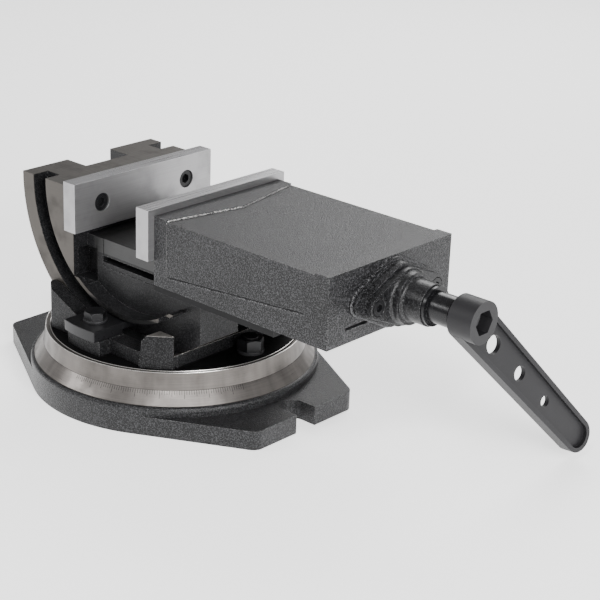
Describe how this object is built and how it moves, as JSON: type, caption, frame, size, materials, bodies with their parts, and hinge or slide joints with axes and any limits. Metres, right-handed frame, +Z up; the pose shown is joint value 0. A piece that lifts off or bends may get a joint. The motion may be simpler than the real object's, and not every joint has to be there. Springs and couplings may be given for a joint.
{
  "type": "tilting swivel machine vise",
  "caption": "Machine vise with a graduated swivel base, an arc-railed tilting body, two flat jaw plates, a box moving jaw and a removable crank on its lead screw.",
  "frame": {"origin": "centre of the base's underside, on the swivel axis", "axes": "+X along the screw towards the crank, +Y along the jaws, +Z up"},
  "size_m": [0.3958, 0.2024, 0.143],
  "materials": {
    "base_paint": "black hammertone paint, graduated cone turned bright",
    "table_paint": "black hammertone paint, ring turned bright",
    "body_iron": "dark cast iron, rails and top ground",
    "jaw_paint": "black hammertone paint",
    "jaw_steel": "surface ground",
    "ground_steel": "ground",
    "black_steel": "black oxide",
    "clamp_steel": "black oxide",
    "screw_steel": "dark oiled steel",
    "crank_iron": "dark grey satin coating",
    "bronze": "turned bronze"
  },
  "bodies": {
    "base": {"base_casting": "base_paint", "pivot_bush": "bronze"},
    "table": {"swivel_table": "table_paint", "swivel_lock_bolts": "black_steel", "swivel_lock_washers": "black_steel", "swivel_lock_nuts": "black_steel", "toe_clamp_front": "clamp_steel", "toe_clamp_rear": "clamp_steel", "toe_clamp_bolts": "black_steel", "toe_clamp_washers": "black_steel"},
    "tilt": {"tilt_body": "body_iron", "fixed_jaw_plate": "jaw_steel", "fixed_jaw_screws": "black_steel", "screw_nut": "bronze", "screw_nut_bolts": "black_steel"},
    "slide": {"moving_jaw": "jaw_paint", "moving_jaw_plate": "jaw_steel", "moving_jaw_screws": "black_steel", "keeper_front": "ground_steel", "keeper_rear": "ground_steel", "keeper_screws": "black_steel", "bearing_cap": "jaw_paint", "bearing_cap_screws": "black_steel", "inner_thrust_washer": "bronze", "outer_thrust_washer": "bronze"},
    "screw": {"lead_screw": "screw_steel", "thrust_collar": "screw_steel", "collar_set_screws": "black_steel"},
    "crank": {"crank_handle": "crank_iron"}
  },
  "joints": [
    {"name": "swivel", "type": "hinge", "parent": "base", "child": "table", "pos_m": [0, 0, 0.0282], "axis": [0, 0, 1], "continuous": true},
    {"name": "tilt", "type": "hinge", "parent": "table", "child": "tilt", "pos_m": [0.011, 0, 0.136], "axis": [0, -1, 0], "range_deg": [0, 45]},
    {"name": "jaw_slide", "type": "slide", "parent": "tilt", "child": "slide", "axis": [1, 0, 0], "range_m": [-0.0591, 0.0409]},
    {"name": "screw_turn", "type": "hinge", "parent": "slide", "child": "screw", "pos_m": [0.2, 0, 0.1156], "axis": [1, 0, 0], "range_deg": [-5310, 3672]},
    {"name": "crank_pull", "type": "slide", "parent": "screw", "child": "crank", "axis": [1, 0, 0], "range_m": [0, 0.02]}
  ],
  "couplings": [
    {"joint": "jaw_slide", "follows": "screw_turn", "m_per_rad": 0.00063662}
  ]
}
